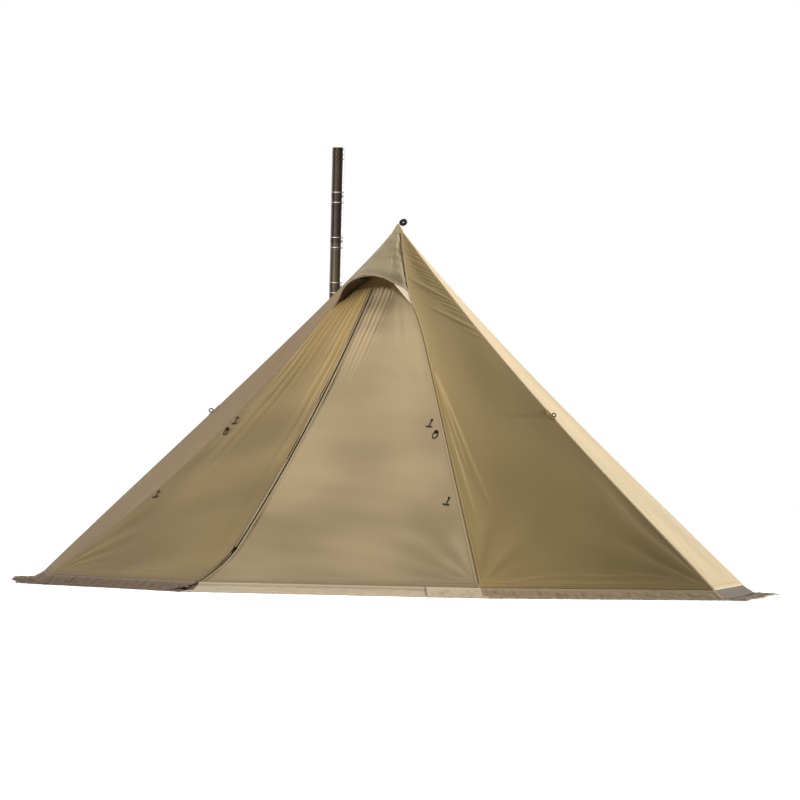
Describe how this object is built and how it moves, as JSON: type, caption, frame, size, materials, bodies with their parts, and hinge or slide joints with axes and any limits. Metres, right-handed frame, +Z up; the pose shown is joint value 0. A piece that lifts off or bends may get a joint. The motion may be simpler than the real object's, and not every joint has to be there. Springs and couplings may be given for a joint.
{
  "type": "pyramid tent",
  "caption": "Octagonal pyramid hot tent on one pole, with a zipped ridge door, hooded vent, snow skirt, door toggles and a small stove with its flue.",
  "frame": {"origin": "centre of the pole's foot, on the ground", "axes": "+Z up along the pole, -Y towards the zipped door ridge, +X to the right seen from the door"},
  "size_m": [4.0506, 3.9735, 2.1782],
  "materials": {
    "apex_cap": "matt khaki coated fabric",
    "apex_loop": "black webbing",
    "damper": "satin heatproof paint",
    "door_left_panel": "matt khaki coated fabric",
    "door_right_panel": "matt khaki coated fabric",
    "flue_section_1": "heat-tinted, satin",
    "flue_section_2": "heat-tinted, satin",
    "flue_section_3": "heat-tinted, satin",
    "flue_section_4": "heat-tinted, satin",
    "flue_section_5": "heat-tinted, satin",
    "flue_section_6": "heat-tinted, satin",
    "flue_section_7": "heat-tinted, satin",
    "guy_loop_back": "black webbing",
    "guy_loop_left": "black webbing",
    "guy_loop_right": "black webbing",
    "hood_brim_binding": "light woven binding",
    "panel_back_left": "matt khaki coated fabric",
    "panel_back_right": "matt khaki coated fabric",
    "panel_left_front": "matt khaki coated fabric",
    "panel_left_rear": "matt khaki coated fabric",
    "panel_right_front": "matt khaki coated fabric",
    "panel_right_rear": "matt khaki coated fabric",
    "pole_collar": "matt black",
    "pole_foot": "matt black",
    "pole_lower": "satin anodised",
    "pole_tip": "matt black",
    "pole_upper": "satin anodised",
    "skirt_back_left": "matt grey-brown fabric",
    "skirt_back_right": "matt grey-brown fabric",
    "skirt_door_left": "matt grey-brown fabric",
    "skirt_door_right": "matt grey-brown fabric",
    "skirt_left_front": "matt grey-brown fabric",
    "skirt_left_rear": "matt grey-brown fabric",
    "skirt_right_front": "matt grey-brown fabric",
    "skirt_right_rear": "matt grey-brown fabric",
    "spark_arrestor": "heat-tinted, satin",
    "stove_body": "satin heatproof paint",
    "stove_door": "satin heatproof paint",
    "stove_jack_flap": "matt khaki coated fabric",
    "stove_jack_patch": "matt heatproof cloth",
    "stove_latch": "brushed",
    "stove_leg_front_left": "satin heatproof paint",
    "stove_leg_front_right": "satin heatproof paint",
    "stove_leg_rear_left": "satin heatproof paint",
    "stove_leg_rear_right": "satin heatproof paint",
    "toggle_left_lower": "matt black",
    "toggle_left_upper": "matt black",
    "toggle_loop_left": "black webbing",
    "toggle_loop_right": "black webbing",
    "toggle_right_lower": "matt black",
    "toggle_right_upper": "matt black",
    "vent_hood": "matt khaki coated fabric",
    "vent_mesh": "dark open mesh",
    "zip_chain_left": "matt black",
    "zip_chain_right": "matt black",
    "zip_pull": "matt black",
    "zip_slider": "satin black",
    "zip_tape_left": "matt khaki woven tape",
    "zip_tape_right": "matt khaki woven tape"
  },
  "bodies": {
    "tent": {"apex_cap": "apex_cap", "flue_section_1": "flue_section_1", "flue_section_2": "flue_section_2", "flue_section_3": "flue_section_3", "flue_section_4": "flue_section_4", "flue_section_5": "flue_section_5", "flue_section_6": "flue_section_6", "flue_section_7": "flue_section_7", "guy_loop_back": "guy_loop_back", "guy_loop_left": "guy_loop_left", "guy_loop_right": "guy_loop_right", "hood_brim_binding": "hood_brim_binding", "panel_back_left": "panel_back_left", "panel_back_right": "panel_back_right", "panel_left_front": "panel_left_front", "panel_left_rear": "panel_left_rear", "panel_right_front": "panel_right_front", "panel_right_rear": "panel_right_rear", "pole_foot": "pole_foot", "pole_lower": "pole_lower", "skirt_back_left": "skirt_back_left", "skirt_back_right": "skirt_back_right", "skirt_left_front": "skirt_left_front", "skirt_left_rear": "skirt_left_rear", "skirt_right_front": "skirt_right_front", "skirt_right_rear": "skirt_right_rear", "stove_body": "stove_body", "stove_jack_patch": "stove_jack_patch", "vent_hood": "vent_hood", "vent_mesh": "vent_mesh"},
    "door_right": {"door_right_panel": "door_right_panel", "zip_chain_right": "zip_chain_right", "zip_tape_right": "zip_tape_right", "skirt_door_right": "skirt_door_right", "toggle_loop_right": "toggle_loop_right"},
    "door_left": {"door_left_panel": "door_left_panel", "zip_chain_left": "zip_chain_left", "zip_tape_left": "zip_tape_left", "skirt_door_left": "skirt_door_left", "toggle_loop_left": "toggle_loop_left"},
    "slider": {"zip_slider": "zip_slider"},
    "pull": {"zip_pull": "zip_pull"},
    "toggle_left_upper_body": {"toggle_left_upper": "toggle_left_upper"},
    "toggle_left_lower_body": {"toggle_left_lower": "toggle_left_lower"},
    "toggle_right_upper_body": {"toggle_right_upper": "toggle_right_upper"},
    "toggle_right_lower_body": {"toggle_right_lower": "toggle_right_lower"},
    "apex_ring": {"apex_loop": "apex_loop"},
    "jack_flap": {"stove_jack_flap": "stove_jack_flap"},
    "collar": {"pole_collar": "pole_collar"},
    "upper_pole": {"pole_upper": "pole_upper", "pole_tip": "pole_tip"},
    "arrestor": {"spark_arrestor": "spark_arrestor"},
    "damper_plate": {"damper": "damper"},
    "stove_front": {"stove_door": "stove_door"},
    "latch": {"stove_latch": "stove_latch"},
    "leg_front_left": {"stove_leg_front_left": "stove_leg_front_left"},
    "leg_front_right": {"stove_leg_front_right": "stove_leg_front_right"},
    "leg_rear_left": {"stove_leg_rear_left": "stove_leg_rear_left"},
    "leg_rear_right": {"stove_leg_rear_right": "stove_leg_rear_right"}
  },
  "joints": [
    {"name": "door_right_swing", "type": "hinge", "parent": "tent", "child": "door_right", "pos_m": [0.3099, -0.34782, 1.30913], "axis": [-0.4714, 0.529, 0.7056], "range_deg": [0, 150]},
    {"name": "door_left_swing", "type": "hinge", "parent": "tent", "child": "door_left", "pos_m": [-0.25468, -0.28585, 1.30919], "axis": [-0.486, -0.5455, -0.6828], "range_deg": [0, 150]},
    {"name": "zip_slide", "type": "hinge", "parent": "door_right", "child": "slider", "pos_m": [0, -7.23153, 7.28564], "axis": [1, 0, 0], "range_deg": [0, 10.63]},
    {"name": "zip_pull_swing", "type": "hinge", "parent": "slider", "child": "pull", "pos_m": [0, -1.53151, 0.2027], "axis": [-1, 0, 0], "range_deg": [0, 150]},
    {"name": "toggle_left_upper_swing", "type": "hinge", "parent": "door_left", "child": "toggle_left_upper_body", "pos_m": [-0.52443, -0.63048, 0.81392], "axis": [-0.9609, 0.1968, -0.1947], "range_deg": [0, 120]},
    {"name": "toggle_left_lower_swing", "type": "hinge", "parent": "door_left", "child": "toggle_left_lower_body", "pos_m": [-0.78417, -0.92172, 0.44926], "axis": [-0.9678, 0.164, -0.191], "range_deg": [0, 120]},
    {"name": "toggle_right_upper_swing", "type": "hinge", "parent": "door_right", "child": "toggle_right_upper_body", "pos_m": [0.58923, -0.7304, 0.81379], "axis": [-0.9899, -0.1067, 0.0937], "range_deg": [0, 120]},
    {"name": "toggle_right_lower_swing", "type": "hinge", "parent": "door_right", "child": "toggle_right_lower_body", "pos_m": [0.83337, -1.00797, 0.44889], "axis": [-0.9808, -0.1421, 0.1334], "range_deg": [0, 120]},
    {"name": "apex_ring_lean", "type": "hinge", "parent": "tent", "child": "apex_ring", "pos_m": [0, 0, 1.77293], "axis": [0, 1, 0], "range_deg": [-8, 8]},
    {"name": "jack_flap_lift", "type": "hinge", "parent": "tent", "child": "jack_flap", "pos_m": [-0.39091, 0.1879, 1.28989], "axis": [-0.3605, -0.9328, 0], "range_deg": [0, 40]},
    {"name": "pole_lock_twist", "type": "hinge", "parent": "tent", "child": "collar", "pos_m": [0, 0, 1.02], "axis": [0, 0, 1], "range_deg": [0, 90]},
    {"name": "pole_telescope", "type": "slide", "parent": "tent", "child": "upper_pole", "axis": [0, 0, 1], "range_m": [-0.35, 0]},
    {"name": "spark_arrestor_lift", "type": "slide", "parent": "tent", "child": "arrestor", "axis": [0, 0, 1], "range_m": [0, 0.06]},
    {"name": "damper_turn", "type": "hinge", "parent": "tent", "child": "damper_plate", "pos_m": [-0.46131, 0.21511, 0.4603], "axis": [-1, 0, 0], "range_deg": [0, 90]},
    {"name": "stove_door_swing", "type": "hinge", "parent": "tent", "child": "stove_front", "pos_m": [-0.55831, -0.13419, 0.25], "axis": [0, 0, -1], "range_deg": [0, 110]},
    {"name": "stove_latch_turn", "type": "hinge", "parent": "stove_front", "child": "latch", "pos_m": [-0.38031, -0.13649, 0.25], "axis": [0, 1, 0], "range_deg": [0, 90]},
    {"name": "leg_front_left_fold", "type": "hinge", "parent": "tent", "child": "leg_front_left", "pos_m": [-0.57811, -0.10989, 0.161], "axis": [1, 0, 0], "range_deg": [0, 96]},
    {"name": "leg_front_right_fold", "type": "hinge", "parent": "tent", "child": "leg_front_right", "pos_m": [-0.34451, -0.10989, 0.161], "axis": [1, 0, 0], "range_deg": [0, 96]},
    {"name": "leg_rear_left_fold", "type": "hinge", "parent": "tent", "child": "leg_rear_left", "pos_m": [-0.57811, 0.27011, 0.161], "axis": [-1, 0, 0], "range_deg": [0, 96]},
    {"name": "leg_rear_right_fold", "type": "hinge", "parent": "tent", "child": "leg_rear_right", "pos_m": [-0.34451, 0.27011, 0.161], "axis": [-1, 0, 0], "range_deg": [0, 96]}
  ]
}
